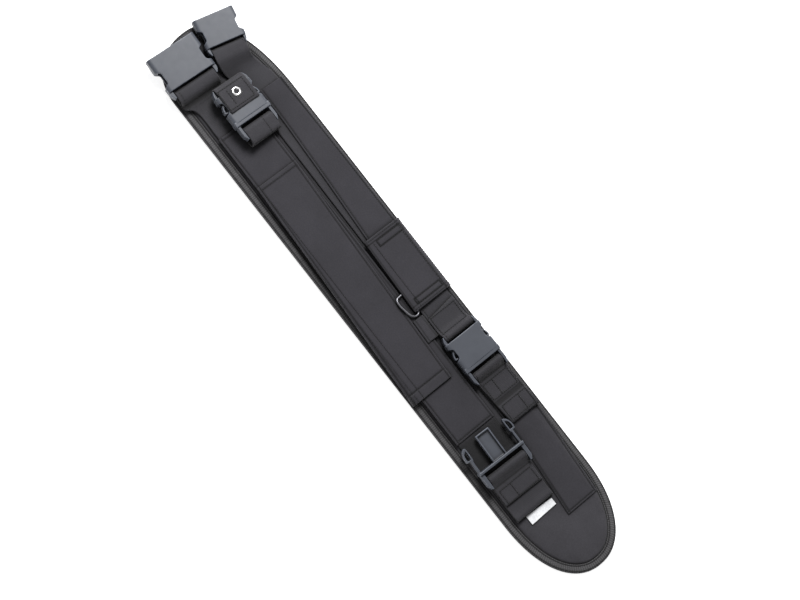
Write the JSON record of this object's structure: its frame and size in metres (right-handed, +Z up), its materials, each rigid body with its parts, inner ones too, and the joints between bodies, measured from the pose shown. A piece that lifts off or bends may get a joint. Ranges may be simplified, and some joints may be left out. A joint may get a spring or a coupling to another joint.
{
  "type": "pole support belt",
  "caption": "Padded waist belt with wide webbing, open and fastened side-release buckles, sewn sleeves, a ring and an eyelet tab, lying flat with its front up.",
  "frame": {"origin": "on the surface that the belt lies on, under the middle of its length and width", "axes": "+X along the belt towards its round right end, +Y across it towards its upper edge, +Z up from the pad's back to its front"},
  "size_m": [0.7196, 0.1183, 0.0298],
  "materials": {
    "pad_fabric": "smooth woven nylon",
    "binding_tape": "ribbed mesh tape",
    "webbing": "woven polyamide webbing",
    "panel_fabric": "smooth woven nylon",
    "buckle_plastic": "satin moulded acetal",
    "ring_metal": "satin",
    "eyelet_metal": "bright",
    "label_cloth": "satin tape"
  },
  "bodies": {
    "root": {"pad": "pad_fabric", "edge_binding": "binding_tape", "waist_strap": "webbing", "upper_strap": "webbing", "middle_strap_left": "webbing", "middle_strap_right": "webbing", "tab_strap": "webbing", "eyelet_tab": "webbing", "ring_tab": "webbing", "lower_band": "panel_fabric", "lower_sleeve": "panel_fabric", "upper_band_left": "panel_fabric", "upper_band_right": "panel_fabric", "keeper_sleeve": "panel_fabric", "waist_buckle_socket": "buckle_plastic", "waist_buckle_plug": "buckle_plastic", "upper_buckle_socket": "buckle_plastic", "middle_buckle_socket": "buckle_plastic", "middle_buckle_plug": "buckle_plastic", "tab_buckle_socket": "buckle_plastic", "tab_buckle_plug": "buckle_plastic", "d_ring": "ring_metal", "eyelet": "eyelet_metal", "label": "label_cloth"}
  },
  "joints": []
}
